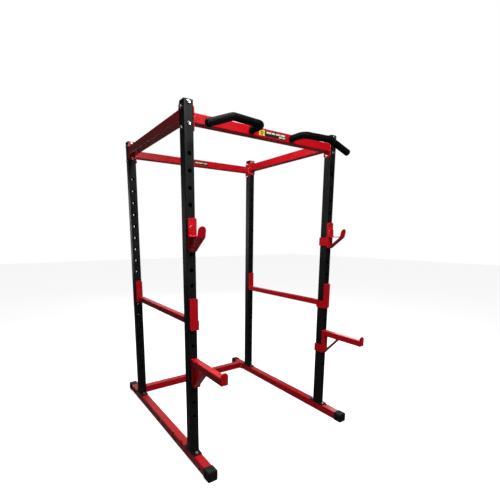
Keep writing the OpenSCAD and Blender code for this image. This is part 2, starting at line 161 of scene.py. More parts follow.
def make_studio():
    make_floor()
    make_world()
    overhead = add_light("overhead", "SUN", (0, 0, 6), (0, 0, 0), OVERHEAD_STRENGTH)
    overhead.data.angle = OVERHEAD_WIDTH
    # Each softbox: name, place, the point it faces, size and watts, and how wide its beam is in degrees
    softbox("top", (-0.55, -0.7, 4.2), (-0.75, -0.45, 0), (0.9, 0.9), 9, spread=45)
    softbox("key", (-0.3, -2.3, 3.3), (0.4, 0, 1.8), (0.8, 0.8), 54)
    softbox("front", (-0.4, -3.0, 1.6), (0.1, 0, 1.2), (1.0, 1.0), 10)
    softbox("inside", (-0.5, -0.1, 2.5), (0.57, 0, 2.05), (0.9, 0.2), 3.8, spread=100)
    softbox("between", (-0.4, -0.3, 1.6), (0.6, 0, 1.0), (0.8, 0.3), 1.8)
    softbox("behind", (2.4, 4.8, 3.0), (-0.4, -0.4, 0.8), (4.0, 3.0), 16)
    softbox("far_side", (3.6, 0.9, 2.0), (0.2, 0, 1.1), (1.6, 1.6), 28)
    softbox("back", (-0.6, 4.5, 1.6), (0, 0.5, 1.1), (1.5, 1.5), 38)
    bpy.context.scene.view_settings.view_transform = "Standard"


# ---------------------------------------------------------------- materials

SOCKET_NAMES = {
    "coat": "Coat Weight",
    "coat_roughness": "Coat Roughness",
    "specular": "Specular IOR Level",
}
# Sockets of a Mix node that mixes colours: its factor, its two colours and its result
MIX_FACTOR, MIX_UNDER, MIX_OVER, MIX_RESULT = 0, 6, 7, 2
# Most of what a noise gives lies between these
NOISE_SPAN = (0.3, 0.7)
# Height of a face's normal on a slope and on a top
SLOPE_TO_TOP = (0.6, 0.95)
# How well the rounded normal agrees with the face's own on open faces and along an edge
OPEN_TO_EDGE = (0.99, 0.86)
EDGE_SAMPLES = 4


class Finish:
    """A Principled material with short ways to add the nodes that vary it."""

    def __init__(self, name, colour, roughness, metallic=0.0, **sockets):
        self.material = bpy.data.materials.new(name)
        self.material.use_nodes = True
        self.tree = self.material.node_tree
        self.shader = self.tree.nodes["Principled BSDF"]
        self.paint = (*colour, 1)
        self.shader.inputs["Base Color"].default_value = self.paint
        self.shader.inputs["Roughness"].default_value = roughness
        self.shader.inputs["Metallic"].default_value = metallic
        for socket, value in sockets.items():
            self.shader.inputs[SOCKET_NAMES[socket]].default_value = value
        self.coords = self.add("ShaderNodeTexCoord").outputs["Object"]
        self.normal = None

    def add(self, kind, inputs=None, **settings):
        """Adds a node, and links or sets each of its inputs."""
        node = self.tree.nodes.new(kind)
        for key, value in settings.items():
            setattr(node, key, value)
        for key, value in (inputs or {}).items():
            if isinstance(value, bpy.types.NodeSocket):
                self.tree.links.new(value, node.inputs[key])
            else:
                node.inputs[key].default_value = value
        return node

    def noise(self, scale, detail=2.0, stretch=(1, 1, 1)):
        """Cloudy noise, with features about 1/scale metres wide."""
        vector = self.coords
        if stretch != (1, 1, 1):
            vector = self.add("ShaderNodeMapping", {"Vector": vector, "Scale": stretch}).outputs[0]
        inputs = {"Vector": vector, "Scale": scale, "Detail": detail}
        return self.add("ShaderNodeTexNoise", inputs).outputs[0]

    def cells(self, scale):
        """Distance to the middle of the nearest cell of an irregular pattern."""
        inputs = {"Vector": self.coords, "Scale": scale}
        return self.add("ShaderNodeTexVoronoi", inputs).outputs["Distance"]

    def span(self, value, source, target=(0.0, 1.0)):
        """Maps a value from one range to another, and clamps it."""
        inputs = {"Value": value, "From Min": source[0], "From Max": source[1], "To Min": target[0],
                  "To Max": target[1]}
        return self.add("ShaderNodeMapRange", inputs).outputs[0]

    def times(self, a, b):
        return self.add("ShaderNodeMath", {0: a, 1: b}, operation="MULTIPLY").outputs[0]

    def upward(self):
        """One on faces that look up, zero on walls and undersides."""
        normal = self.add("ShaderNodeNewGeometry").outputs["Normal"]
        height = self.add("ShaderNodeSeparateXYZ", {0: normal}).outputs["Z"]
        return self.span(height, SLOPE_TO_TOP)

    def edges(self, width):
        """One along outside and inside edges, zero on open faces."""
        rounded = self.add("ShaderNodeBevel", {"Radius": width}, samples=EDGE_SAMPLES).outputs[0]
        normal = self.add("ShaderNodeNewGeometry").outputs["Normal"]
        match = self.add("ShaderNodeVectorMath", {0: rounded, 1: normal}, operation="DOT_PRODUCT")
        return self.span(match.outputs["Value"], OPEN_TO_EDGE)

    def tint(self, mask, colour):
        """Paints a colour over what is there where the mask is one."""
        mix = self.add("ShaderNodeMix", data_type="RGBA")
        self.tree.links.new(mask, mix.inputs[MIX_FACTOR])
        if isinstance(self.paint, bpy.types.NodeSocket):
            self.tree.links.new(self.paint, mix.inputs[MIX_UNDER])
        else:
            mix.inputs[MIX_UNDER].default_value = self.paint
        mix.inputs[MIX_OVER].default_value = (*colour, 1)
        self.paint = mix.outputs[MIX_RESULT]
        self.tree.links.new(self.paint, self.shader.inputs["Base Color"])

    def roughen(self, scale, detail, least, most):
        """Lets the roughness drift between two values with a noise."""
        value = self.span(self.noise(scale, detail), NOISE_SPAN, (least, most))
        self.tree.links.new(value, self.shader.inputs["Roughness"])

    def bump(self, height, distance, strength):
        """Adds a bump on top of the ones before it."""
        inputs = {"Height": height, "Distance": distance, "Strength": strength}
        if self.normal is not None:
            inputs["Normal"] = self.normal
        self.normal = self.add("ShaderNodeBump", inputs).outputs[0]
        self.tree.links.new(self.normal, self.shader.inputs["Normal"])


def red_powder():
    """Glossy powder coat: orange peel, slow drifts of tone, lighter edges that are part wear and part
    painted highlight, and fine scuffs on top with painted sheen.
    """
    red = Finish("red powder coat", (0.58, 0.001, 0.01), 0.32,
                 specular=0.35, coat=0.22, coat_roughness=0.16)
    red.tint(red.span(red.noise(2.2, 3), (0.35, 0.7)), (0.5, 0.001, 0.007))
    # Lighter red along the edges: part rubbed wear, part painted highlight on the rounded edges
    lighter_edges = red.times(red.edges(1.6 * MM), red.span(red.noise(60, 3), (0.35, 0.7)))
    red.tint(lighter_edges, (0.72, 0.06, 0.065))
    # Pinkish scuffs on faces that look up: part wear, part painted sheen on the tops
    scuffs = red.span(red.noise(90, 4, (1, 0.12, 1)), (0.66, 0.74))
    scuffs_and_sheen_on_top = red.times(red.upward(), red.times(scuffs, red.span(red.noise(7), (0.45, 0.7), (0, 0.5))))
    red.tint(scuffs_and_sheen_on_top, (0.68, 0.2, 0.2))
    red.roughen(14, 3, 0.25, 0.38)
    red.bump(red.noise(420, 1.5), 0.3 * MM, 0.6)
    return red.material


def black_powder():
    """Satin black powder coat with a fine leathery grain, upright rub marks and pale rubbed edges."""
    black = Finish("black powder coat", (0.0035, 0.004, 0.0042), 0.42, specular=0.22)
    black.tint(black.span(black.noise(3, 3), (0.4, 0.7)), (0.006, 0.0065, 0.007))
    lighter_edges = black.times(black.edges(1.5 * MM), black.span(black.noise(70, 3), (0.45, 0.75)))
    black.tint(lighter_edges, (0.04, 0.04, 0.042))
    marks = black.span(black.noise(45, 4, (1, 1, 0.15)), (0.68, 0.75))
    black.tint(black.times(marks, black.span(black.noise(4), (0.5, 0.7), (0, 0.4))), (0.05, 0.05, 0.052))
    black.roughen(18, 3, 0.36, 0.5)
    black.bump(black.noise(700, 2), 0.22 * MM, 0.4)
    return black.material


def zinc_plate():
    """Bright zinc plate: uneven passivation, dull specks and a fine grain."""
    zinc = Finish("zinc plate", (0.78, 0.79, 0.81), 0.28, metallic=1.0)
    zinc.tint(zinc.span(zinc.noise(120, 3), (0.45, 0.75)), (0.66, 0.66, 0.62))
    zinc.tint(zinc.span(zinc.noise(500, 2), (0.62, 0.75)), (0.4, 0.4, 0.4))
    zinc.roughen(260, 3, 0.2, 0.42)
    zinc.bump(zinc.noise(1800, 2), 0.05 * MM, 0.3)
    return zinc.material


def cap_rubber():
    """Moulded rubber: matt, fine grained, greyish where it rubs."""
    rubber = Finish("cap rubber", (0.005, 0.005, 0.005), 0.6, specular=0.25)
    lighter_edges = rubber.times(rubber.edges(2.5 * MM), rubber.span(rubber.noise(40, 3), NOISE_SPAN))
    rubber.tint(lighter_edges, (0.06, 0.065, 0.062))
    dust = rubber.times(rubber.upward(), rubber.span(rubber.noise(90, 4), (0.45, 0.8), (0, 0.5)))
    rubber.tint(dust, (0.07, 0.07, 0.065))
    rubber.roughen(60, 3, 0.5, 0.72)
    rubber.bump(rubber.noise(1300, 2), 0.15 * MM, 0.4)
    return rubber.material


def grip_foam():
    """Closed cell foam: tiny open pores darkened with painted shade, soft mottling and a dull skin."""
    foam = Finish("grip foam", (0.0015, 0.0015, 0.0018), 0.6, specular=0.07)
    foam.tint(foam.span(foam.noise(30, 4), (0.4, 0.7)), (0.0035, 0.0035, 0.004))
    pores = foam.cells(900)
    # Painted shade: the pores are darker where their hollows would be shaded
    foam.tint(foam.span(pores, (0.28, 0.12)), (0.0005, 0.0005, 0.0005))
    foam.roughen(25, 3, 0.5, 0.68)
    foam.bump(pores, 0.25 * MM, 0.5)
    foam.bump(foam.noise(120, 3), 0.4 * MM, 0.35)
    return foam.material


def black_plastic():
    """Injection moulded plastic with a fine grain, and dust on faces that look up."""
    plastic = Finish("black plastic", (0.008, 0.008, 0.0085), 0.42, specular=0.35)
    dust = plastic.times(plastic.upward(), plastic.span(plastic.noise(80, 4), (0.5, 0.8), (0, 0.5)))
    plastic.tint(dust, (0.07, 0.07, 0.07))
    plastic.roughen(90, 3, 0.34, 0.5)
    plastic.bump(plastic.noise(1600, 2), 0.08 * MM, 0.4)
    return plastic.material


def label_print(name, colour):
    """Printed film under a clear glossy laminate, very slightly uneven."""
    film = Finish(name, colour, 0.35, coat=0.6, coat_roughness=0.08)
    faded = tuple(0.85 * c + 0.02 for c in colour)
    film.tint(film.span(film.noise(35, 3), (0.45, 0.7)), faded)
    film.roughen(50, 2, 0.28, 0.4)
    film.bump(film.noise(70, 2), 0.1 * MM, 0.2)
    return film.material


FINISHES = {
    "red_powder": red_powder(),
    "black_powder": black_powder(),
    "zinc": zinc_plate(),
    "cap_rubber": cap_rubber(),
    "grip_foam": grip_foam(),
    "black_plastic": black_plastic(),
    "label": label_print("label black", (0.012, 0.012, 0.012)),
}
YELLOW_INK = label_print("label yellow", (0.78, 0.6, 0.05))
OLIVE_INK = label_print("label olive", (0.2, 0.13, 0.02))
PALE_INK = label_print("label pale", (0.72, 0.66, 0.45))

# ---------------------------------------------------------------- CAD nodes that stay

CAD_GRAIN = 0.01 * MM
FACET_ANGLE = math.radians(0.5)
CREASE_ANGLE = math.radians(30)
DEFAULT_EDGE = 0.7 * MM
# Width of the rounding on nodes whose edges are rounder than the rest
EDGES = {
    "j_hook_plate": 1.3 * MM,
    "j_hook_cradle": 1.5 * MM,
    "j_hook_brace": 1.0 * MM,
    "spotter_back": 1.8 * MM,
    "spotter_tip": 1.8 * MM,
    "spotter_brace": 1.0 * MM,
    "safety_front_bracket": 1.2 * MM,
    "safety_rear_bracket": 1.3 * MM,
}


def soften(node, width):
    """Joins the CAD facets into whole faces and rounds the sharp edges between them."""
    weld = node.modifiers.new("weld", "WELD")
    weld.merge_threshold = CAD_GRAIN
    flatten = node.modifiers.new("flatten", "DECIMATE")
    flatten.decimate_type = "DISSOLVE"
    flatten.angle_limit = FACET_ANGLE
    bevel = node.modifiers.new("edges", "BEVEL")
    bevel.width = width
    bevel.segments = 2
    bevel.limit_method = "ANGLE"
    bevel.angle_limit = CREASE_ANGLE
    normals = node.modifiers.new("normals", "WEIGHTED_NORMAL")
    normals.weight = 100


def finish_nodes():
    """Gives every CAD node the finish of its material slot."""
    for part in frame["record"]["subparts"]:
        name = part["node"]
        node = frame["nodes"][name]
        node.data.materials.clear()
        node.data.materials.append(FINISHES[part["material_slot"]])
        kind = name.rsplit("_", 1)[0]
        soften(node, EDGES.get(kind, DEFAULT_EDGE))


# ---------------------------------------------------------------- mesh helpers

CORNER_STEPS = 5


def new_piece(name, bm, body, slot, replaces=(), *, smooth, inks=()):
    """Turns a bmesh into a piece with its finish, riding on a body and replacing CAD nodes.

    It is shaded smooth over edges of fewer degrees than smooth.
    """
    bmesh.ops.recalc_face_normals(bm, faces=bm.faces)
    mesh = bpy.data.meshes.new(name)
    bm.to_mesh(mesh)
    bm.free()
    mesh.shade_smooth()
    mesh.set_sharp_from_angle(angle=math.radians(smooth))
    piece = bpy.data.objects.new(name, mesh)
    bpy.context.scene.collection.objects.link(piece)
    for material in (FINISHES[slot], *inks):
        mesh.materials.append(material)
    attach(piece, body)
    if replaces:
        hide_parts(*replaces)


def loft(bm, rings, closed=False, ink=0):
    """Skins a list of equally long rings of points. An open run gets flat ends."""
    rows = [[bm.verts.new(point) for point in ring] for ring in rings]
    following = rows[1:] + (rows[:1] if closed else [])
    for low, high in zip(rows, following):
        for i in range(len(low)):
            j = (i + 1) % len(low)
            bm.faces.new((low[i], low[j], high[j], high[i])).material_index = ink
    if not closed:
        bm.faces.new(rows[0][::-1]).material_index = ink
        bm.faces.new(rows[-1]).material_index = ink


def circle(radius, z, sides, place):
    """A ring of points round the Z axis of a place."""
    angles = [math.tau * i / sides for i in range(sides)]
    return [place @ Vector((radius * math.cos(a), radius * math.sin(a), z)) for a in angles]


def rounded_rect(half_u, half_v, radius):
    """Points (u, v) round a rectangle with round corners."""
    points = []
    for corner in range(4):
        right = corner in (0, 3)
        top = corner in (0, 1)
        for step in range(CORNER_STEPS + 1):
            angle = math.tau * (corner + step / CORNER_STEPS) / 4
            u = (half_u - radius) * (1 if right else -1) + radius * math.cos(angle)
            v = (half_v - radius) * (1 if top else -1) + radius * math.sin(angle)
            points.append((u, v))
    return points


def soft_ring(half_u, half_v, radius, z, place):
    """A ring of points with round corners, in the plane z of a place."""
    return [place @ Vector((u, v, z)) for u, v in rounded_rect(half_u, half_v, radius)]


def solids(node):
    """The separate solids of a CAD node, each as the list of its corner points."""
    bm = bmesh.new()
    bm.from_mesh(frame["nodes"][node].data)
    bmesh.ops.remove_doubles(bm, verts=bm.verts, dist=CAD_GRAIN)
    found = []
    for start in bm.verts:
        if start.tag:
            continue
        start.tag = True
        group = [start]
        for vert in group:
            for edge in vert.link_edges:
                other = edge.other_vert(vert)
                if not other.tag:
                    other.tag = True
                    group.append(other)
        found.append([vert.co.copy() for vert in group])
    bm.free()
    return found


def span_of(points):
    """Lowest corner, highest corner and middle of some points."""
    low = Vector([min(p[i] for p in points) for i in range(3)])
    high = Vector([max(p[i] for p in points) for i in range(3)])
    return low, high, (low + high) / 2


# ---------------------------------------------------------------- fasteners

BOLT_R = 5 * MM
THREAD_DEPTH = 0.6 * MM
THREAD_PITCH = 1.5 * MM
ACROSS_FLATS = 17 * MM
CHAMFER_START = 0.47 * ACROSS_FLATS
WASHER_FACE_R = 0.475 * ACROSS_FLATS
WASHER_FACE_T = 0.4 * MM
END_FACE_R = 0.46 * ACROSS_FLATS
DISH_R = 0.40 * ACROSS_FLATS
DISH_DEPTH = 0.25 * MM
POINT_LENGTH = 1.5 * MM
POINT_CHAMFER = 1.2 * MM
# Points of a bolt farther than this from its axis belong to its head
SHANK_REACH = BOLT_R + 1 * MM
BORE_R = BOLT_R + 0.1 * MM
SINK_R = BOLT_R + 0.9 * MM
SINK_DEPTH = 1 * MM
WASHER_HOLE_R = BOLT_R + 0.5 * MM
SHORT_THREAD = 16 * MM
LONG_THREAD = 24 * MM
HEX_SIDES = 48
SHANK_SIDES = 20
WASHER_SIDES = 36
FASTENER_SMOOTH = 28
# Each bolt or nut in a row is turned this much further, so no two stand alike
GOLDEN_TURN = math.radians(137.5)


def hexagon(z_of, place):
    """A ring of points on a hexagon, with a height that depends on the distance from its axis."""
    points = []
    for i in range(HEX_SIDES):
        angle = math.tau * i / HEX_SIDES
        off_flat = (angle + math.pi / 6) % (math.pi / 3) - math.pi / 6
        reach = ACROSS_FLATS / 2 / math.cos(off_flat)
        points.append(place @ Vector((reach * math.cos(angle), reach * math.sin(angle), z_of(reach))))
    return points


def chamfer_drop(reach):
    """How far the 30 degree chamfer has fallen at a distance from the axis."""
    return max(reach - CHAMFER_START, 0) * math.tan(math.radians(30))


def hex_head(bm, place, height):
    """A bolt head from its clamped face up: washer face, hexagon and chamfered, dished top."""
    loft(bm, [
        circle(WASHER_FACE_R, 0, HEX_SIDES, place),
        circle(WASHER_FACE_R, WASHER_FACE_T, HEX_SIDES, place),
        hexagon(lambda reach: WASHER_FACE_T, place),
        hexagon(lambda reach: height - chamfer_drop(reach), place),
        circle(END_FACE_R, height, HEX_SIDES, place),
        circle(DISH_R, height - DISH_DEPTH, HEX_SIDES, place),
    ])


def shank(bm, place, length, thread):
    """A bolt's shank below its head, with screw thread along the last stretch."""
    start = thread - length
    profile = [(BOLT_R, 0), (BOLT_R, start)]
    for turn in range(int((thread - POINT_LENGTH) / THREAD_PITCH)):
        z = start - turn * THREAD_PITCH
        profile += [(BOLT_R - THREAD_DEPTH, z - THREAD_PITCH / 2), (BOLT_R, z - THREAD_PITCH)]
    profile.append((BOLT_R - POINT_CHAMFER, -length))
    loft(bm, [circle(radius, z, SHANK_SIDES, place) for radius, z in profile])


def nut_body(bm, place, height):
    """A nut with both faces chamfered and a countersunk bore."""
    loft(bm, [
        circle(BORE_R, SINK_DEPTH, HEX_SIDES, place),
        circle(SINK_R, 0, HEX_SIDES, place),
        circle(END_FACE_R, 0, HEX_SIDES, place),
        hexagon(chamfer_drop, place),
        hexagon(lambda reach: height - chamfer_drop(reach), place),
        circle(END_FACE_R, height, HEX_SIDES, place),
        circle(SINK_R, height, HEX_SIDES, place),
        circle(BORE_R, height - SINK_DEPTH, HEX_SIDES, place),
    ], closed=True)


def washer_body(bm, place, inner, outer, height):
    """A stamped washer with rolled edges."""
    roll = height * 0.3
    profile = [
        (inner, roll), (inner + roll, 0), (outer - roll, 0), (outer, roll),
        (outer, height - roll), (outer - roll, height), (inner + roll, height), (inner, height - roll),
    ]
    loft(bm, [circle(radius, z, WASHER_SIDES, place) for radius, z in profile], closed=True)


def facing(origin, direction, turn=0.0):
    """A place at a point, with +Z along a direction, turned about it."""
    aim = direction.to_track_quat("Z", "Y").to_matrix().to_4x4()
    return Matrix.Translation(origin) @ aim @ Matrix.Rotation(turn, 4, "Z")


def axis_of(low, high, longest):
    """The direction of a fastener's axis: its longest or its shortest side."""
    sides = list(high - low)
    axis = sides.index(max(sides) if longest else min(sides))
    return Vector([1.0 if i == axis else 0.0 for i in range(3)])


def make_bolts(node, thread):
    """Bolts where the CAD ones are: the head is where the solid is wider than its shank."""
    bm = bmesh.new()
    for i, points in enumerate(solids(node)):
        low, high, middle = span_of(points)
        axis = axis_of(low, high, longest=True)
        head = [p for p in points if (p - middle - axis * axis.dot(p - middle)).length > SHANK_REACH]
        head_low, head_high, head_middle = span_of(head)
        if axis.dot(head_middle - middle) < 0:
            axis = -axis
        height = abs(axis.dot(head_high - head_low))
        seat = head_middle - axis * height / 2
        place = facing(seat, axis, i * GOLDEN_TURN)
        hex_head(bm, place, height)
        shank(bm, place, abs(axis.dot(high - low)) - height, thread)
    new_piece(node + "_chamfered", bm, "frame", "zinc", [node], smooth=FASTENER_SMOOTH)


def make_nuts(node):
    """Nuts where the CAD ones are, with their axis along the solid's shortest side."""
    bm = bmesh.new()
    for i, points in enumerate(solids(node)):
        low, high, middle = span_of(points)
        axis = axis_of(low, high, longest=False)
        height = axis.dot(high - low)
        nut_body(bm, facing(middle - axis * height / 2, axis, i * GOLDEN_TURN), height)
    new_piece(node + "_chamfered", bm, "frame", "zinc", [node], smooth=FASTENER_SMOOTH)


def make_washers():
    """Washers where the CAD ones are, as thick and as wide as those."""
    bm = bmesh.new()
    for points in solids("washers"):
        low, high, middle = span_of(points)
        axis = axis_of(low, high, longest=False)
        height = axis.dot(high - low)
        place = facing(middle - axis * height / 2, axis)
        washer_body(bm, place, WASHER_HOLE_R, max(high - low) / 2, height)
    new_piece("washers_rolled", bm, "frame", "zinc", ["washers"], smooth=FASTENER_SMOOTH)


def make_fasteners():
    threads = {
        "foot": SHORT_THREAD,
        "base": SHORT_THREAD,
        "side_tube": LONG_THREAD,
        "beam": LONG_THREAD,
        "crossmember": LONG_THREAD,
    }
    for group, thread in threads.items():
        make_bolts(group + "_bolts", thread)
        make_nuts(group + "_nuts")
    make_washers()


# ---------------------------------------------------------------- caps and plugs

# Turns that send +Z to the front (-Y) and to the back (+Y)
FACE_FRONT = Matrix.Rotation(math.pi / 2, 4, "X")
FACE_BACK = Matrix.Rotation(-math.pi / 2, 4, "X")
CAP_CORNER = 9 * MM
PLUG_CORNER = 5 * MM
LEAST_CORNER = 1 * MM
MOULDING_SMOOTH = 50


def moulding(bm, place, half, corner, profile):
    """A square moulding: each ring is (how far inside the outline, height)."""
    rings = []
    for inset, z in profile:
        rings.append(soft_ring(half - inset, half - inset, max(corner - inset, LEAST_CORNER), z, place))
    loft(bm, rings)


# Inset and distance from the closed end: from that end's middle out, along its ribs and back inside
CAP_PROFILE = [
    (14 * MM, 0), (6 * MM, 0.2 * MM), (3.2 * MM, 0.9 * MM), (1.3 * MM, 2.4 * MM), (0.3 * MM, 4.4 * MM),
    (0, 7 * MM), (0, 16 * MM), (0.9 * MM, 17 * MM), (0.9 * MM, 18.6 * MM), (0, 19.6 * MM),
    (0, 24 * MM), (0.9 * MM, 25 * MM), (0.9 * MM, 26.6 * MM), (0, 27.6 * MM), (0, 59.6 * MM),
    (0.5 * MM, 61.2 * MM), (1.6 * MM, 62 * MM), (3 * MM, 62 * MM), (3.8 * MM, 60.8 * MM),
    (4 * MM, 8 * MM), (5 * MM, 5.2 * MM),
]
# Inset and height above the tube's end, from the skirt's foot up to the crowned top
PLUG_PROFILE = [
    (4.6 * MM, -6 * MM), (3.6 * MM, -4 * MM), (3.6 * MM, -0.4 * MM), (3.2 * MM, 0), (0.2 * MM, 0),
    (0, 0.3 * MM), (0, 1.3 * MM), (0.35 * MM, 2.1 * MM), (1.2 * MM, 2.6 * MM), (4 * MM, 2.85 * MM),
    (14 * MM, 3 * MM),
]
PLUG_CROWN = PLUG_PROFILE[-1][1]


def make_runner_caps(node, name):
    """Ribbed rubber caps over the runners' ends, closed towards the front or the back."""
    bm = bmesh.new()
    for points in solids(node):
        low, high, middle = span_of(points)
        front = middle.y < 0
        end = Vector((middle.x, low.y if front else high.y, middle.z))
        place = Matrix.Translation(end) @ (FACE_BACK if front else FACE_FRONT)
        moulding(bm, place, (high.x - low.x) / 2, CAP_CORNER, CAP_PROFILE)
    new_piece(name, bm, "frame", "cap_rubber", [node], smooth=MOULDING_SMOOTH)


def make_upright_plugs():
    """Crowned plugs in the tops of the uprights."""
    bm = bmesh.new()
    for points in solids("upright_plugs"):
        low, high, middle = span_of(points)
        place = Matrix.Translation((middle.x, middle.y, high.z - PLUG_CROWN))
        moulding(bm, place, (high.x - low.x) / 2, PLUG_CORNER, PLUG_PROFILE)
    new_piece("upright_plugs_moulded", bm, "frame", "black_plastic", ["upright_plugs"],
              smooth=MOULDING_SMOOTH)


# ---------------------------------------------------------------- pull-up handles

HANDLE_ROOT = 168 * MM
TUBE_R = 16 * MM
GRIP_R = 22 * MM
GRIP_START = 4 * MM
GRIP_ROUND = 6 * MM
GRIP_SIDES = 40
GRIP_RINGS = 80
GRIP_END_RINGS = 6
# The sleeve is this much thinner than its nominal radius, and wavers by up to the next number
GRIP_UNDER = 0.3 * MM
GRIP_WAVE = 0.25 * MM
# The two waves in it, in radians per metre
SLOW_WAVE = 61
QUICK_WAVE = 143
# The share of a full round that the sleeve's ends have
GRIP_END_DROP = 0.8
GRIP_BORE_R = TUBE_R + 0.1 * MM
GRIP_SMOOTH = 60
# Each leg: straight length, roll about the pipe, bend angle, bend radius. The last has no bend
HANDLE_LEGS = [
    (74 * MM, 0, math.radians(84.5), 45 * MM),
    (173 * MM, math.radians(-90), math.radians(21.5), 90 * MM),
    (172 * MM, 0, 0, 0),
]
HANDLE_LENGTH = sum(straight + turn * radius for straight, roll, turn, radius in HANDLE_LEGS)


def along_handle(side, distance):
    """The place at a distance along a handle's middle line, with +Z along the pipe."""
    beam_low, beam_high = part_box("pull_up_beam")
    root = Vector((HANDLE_ROOT, beam_low.y, (beam_low.z + beam_high.z) / 2))
    place = Matrix.Translation(root) @ FACE_FRONT
    if side < 0:
        place = Matrix.Scale(-1, 4, (1, 0, 0)) @ place
    for straight, roll, turn, radius in HANDLE_LEGS:
        if distance <= straight or turn == 0:
            return place @ Matrix.Translation((0, 0, distance))
        distance -= straight
        place = place @ Matrix.Translation((0, 0, straight)) @ Matrix.Rotation(roll, 4, "Z")
        angle = min(distance / radius, turn)
        bend = Matrix.Rotation(angle, 4, "Y")
        place = place @ Matrix.Translation((radius, 0, 0)) @ bend @ Matrix.Translation((-radius, 0, 0))
        if distance <= turn * radius:
            return place
        distance -= turn * radius


def tube_rings(places, radii, sides):
    """Rings round a run of places, kept from twisting where the places roll."""
    rings = []
    across = places[0].to_3x3() @ Vector((1, 0, 0))
    for place, radius in zip(places, radii):
        along = (place.to_3x3() @ Vector((0, 0, 1))).normalized()
        across = (across - along * along.dot(across)).normalized()
        other = along.cross(across)
        ring = []
        for i in range(sides):
            angle = math.tau * i / sides
            ring.append(place.translation + (across * math.cos(angle) + other * math.sin(angle)) * radius)
        rings.append(ring)
    return rings


def make_grip(side_name):
    """A foam sleeve with rounded ends, slightly uneven along its length."""
    side = SIDES[side_name]
    length = HANDLE_LENGTH - GRIP_START
    steps = [GRIP_ROUND * (1 - math.cos(math.pi / 2 * i / GRIP_END_RINGS)) for i in range(GRIP_END_RINGS)]
    steps += [GRIP_ROUND + (length - 2 * GRIP_ROUND) * i / GRIP_RINGS for i in range(GRIP_RINGS + 1)]
    steps += [length - step for step in steps[GRIP_END_RINGS - 1::-1]]
    places = [along_handle(side, GRIP_START + step) for step in steps]
    radii = []
    for step in steps:
        from_end = min(step, length - step, GRIP_ROUND)
        drop = GRIP_ROUND - math.sqrt(max(GRIP_ROUND**2 - (GRIP_ROUND - from_end) ** 2, 0))
        wave = GRIP_WAVE * (math.sin(step * SLOW_WAVE) + math.sin(step * QUICK_WAVE + side)) / 2
        radii.append(GRIP_R - GRIP_UNDER + wave - drop * GRIP_END_DROP)
    outside = tube_rings(places, radii, GRIP_SIDES)
    inside = tube_rings(places, [GRIP_BORE_R] * len(places), GRIP_SIDES)
    bm = bmesh.new()
    loft(bm, outside + inside[::-1], closed=True)
    new_piece(f"grip_foam_{side_name}", bm, "frame", "grip_foam", [f"grip_{side_name}"],
              smooth=GRIP_SMOOTH)


HANDLE_PLUG_SIDES = 36
HANDLE_PLUG_SMOOTH = 40


def make_handle_plugs():
    """Domed plugs pressed into the open ends of the handles."""
    bm = bmesh.new()
    bore = TUBE_R - 2.6 * MM
    # Radius and height above the pipe's end, from the skirt's foot up to the dome
    profile = [
        (bore - 1 * MM, -12 * MM), (bore, -11 * MM), (bore, 0), (TUBE_R + 0.8 * MM, 0),
        (TUBE_R + 1 * MM, 0.3 * MM), (TUBE_R + 1 * MM, 1.1 * MM), (TUBE_R + 0.4 * MM, 1.9 * MM),
        (TUBE_R - 1.5 * MM, 2.3 * MM), (TUBE_R / 2, 2.5 * MM),
    ]
    for side in SIDES.values():
        place = along_handle(side, HANDLE_LENGTH)
        loft(bm, [circle(radius, z, HANDLE_PLUG_SIDES, place) for radius, z in profile])
    new_piece("handle_plugs_domed", bm, "frame", "black_plastic", ["handle_plugs"],
              smooth=HANDLE_PLUG_SMOOTH)


# ---------------------------------------------------------------- weld beads

AXES = [Vector((1, 0, 0)), Vector((0, 1, 0)), Vector((0, 0, 1))]
TUBE = 60 * MM
TUBE_CORNER = 5 * MM
SAFETY_CORNER = 4 * MM
BEAM_H = 55 * MM
FLANGE_T = 6 * MM
WELD_R = 3 * MM
HANDLE_WELD_R = 2 * MM
HOOK_WELD_R = 2 * MM
ARM_WELD_RADII = (1.8 * MM, 2.6 * MM)
SPOTTER_BRACE_WELD_R = 2.2 * MM
SAFETY_FRONT_WELD_R = 1.5 * MM
SAFETY_REAR_WELD_R = 2.2 * MM
WELD_PITCH = 3.6 * MM
WELD_SIDES = 8
WELD_SMOOTH = 60
HOOK_ARC_STEPS = 16
RINGS_PER_RIPPLE = 3
# Points this close to a face lie on it
ON_FACE = 0.2 * MM
# How much of a bead's radius is lost between its ripples, and what is left of it at an open end
RIPPLE_DEPTH = 0.16
OPEN_END = 0.5
HANDLE_WELD_POINTS = 24
# Keeps the last point of a run on the run in spite of rounding
ALMOST_ALL = 0.999999


def even_steps(points, closed):
    """Points a fixed part of a weld ripple apart, along straight runs between points."""
    run = points + points[:1] if closed else points
    legs = [(b - a).length for a, b in zip(run, run[1:])]
    total = sum(legs)
    count = max(round(total / WELD_PITCH), 2) * RINGS_PER_RIPPLE
    spaced = []
    for i in range(count if closed else count + 1):
        left = min(total * i / count, total * ALMOST_ALL)
        for a, leg in enumerate(legs):
            if left <= leg:
                break
            left -= leg
        spaced.append(run[a].lerp(run[a + 1], left / leg))
    return spaced


def bead(bm, points, normal, radius=WELD_R, closed=True):
    """A weld bead along points in one plane, rippled like a row of leaning coins."""
    spaced = even_steps(points, closed)
    rings = []
    for i, point in enumerate(spaced):
        before = spaced[i - 1] if closed or i > 0 else point
        after = spaced[(i + 1) % len(spaced)] if closed or i + 1 < len(spaced) else point
        side = (after - before).normalized().cross(normal)
        ripple = abs(math.sin(math.pi * i / RINGS_PER_RIPPLE))
        reach = radius * (1 - RIPPLE_DEPTH + RIPPLE_DEPTH * ripple)
        if not closed and i in (0, len(spaced) - 1):
            reach *= OPEN_END
        angles = [math.tau * k / WELD_SIDES for k in range(WELD_SIDES)]
        rings.append([point + (side * math.cos(a) + normal * math.sin(a)) * reach for a in angles])
    loft(bm, rings, closed)


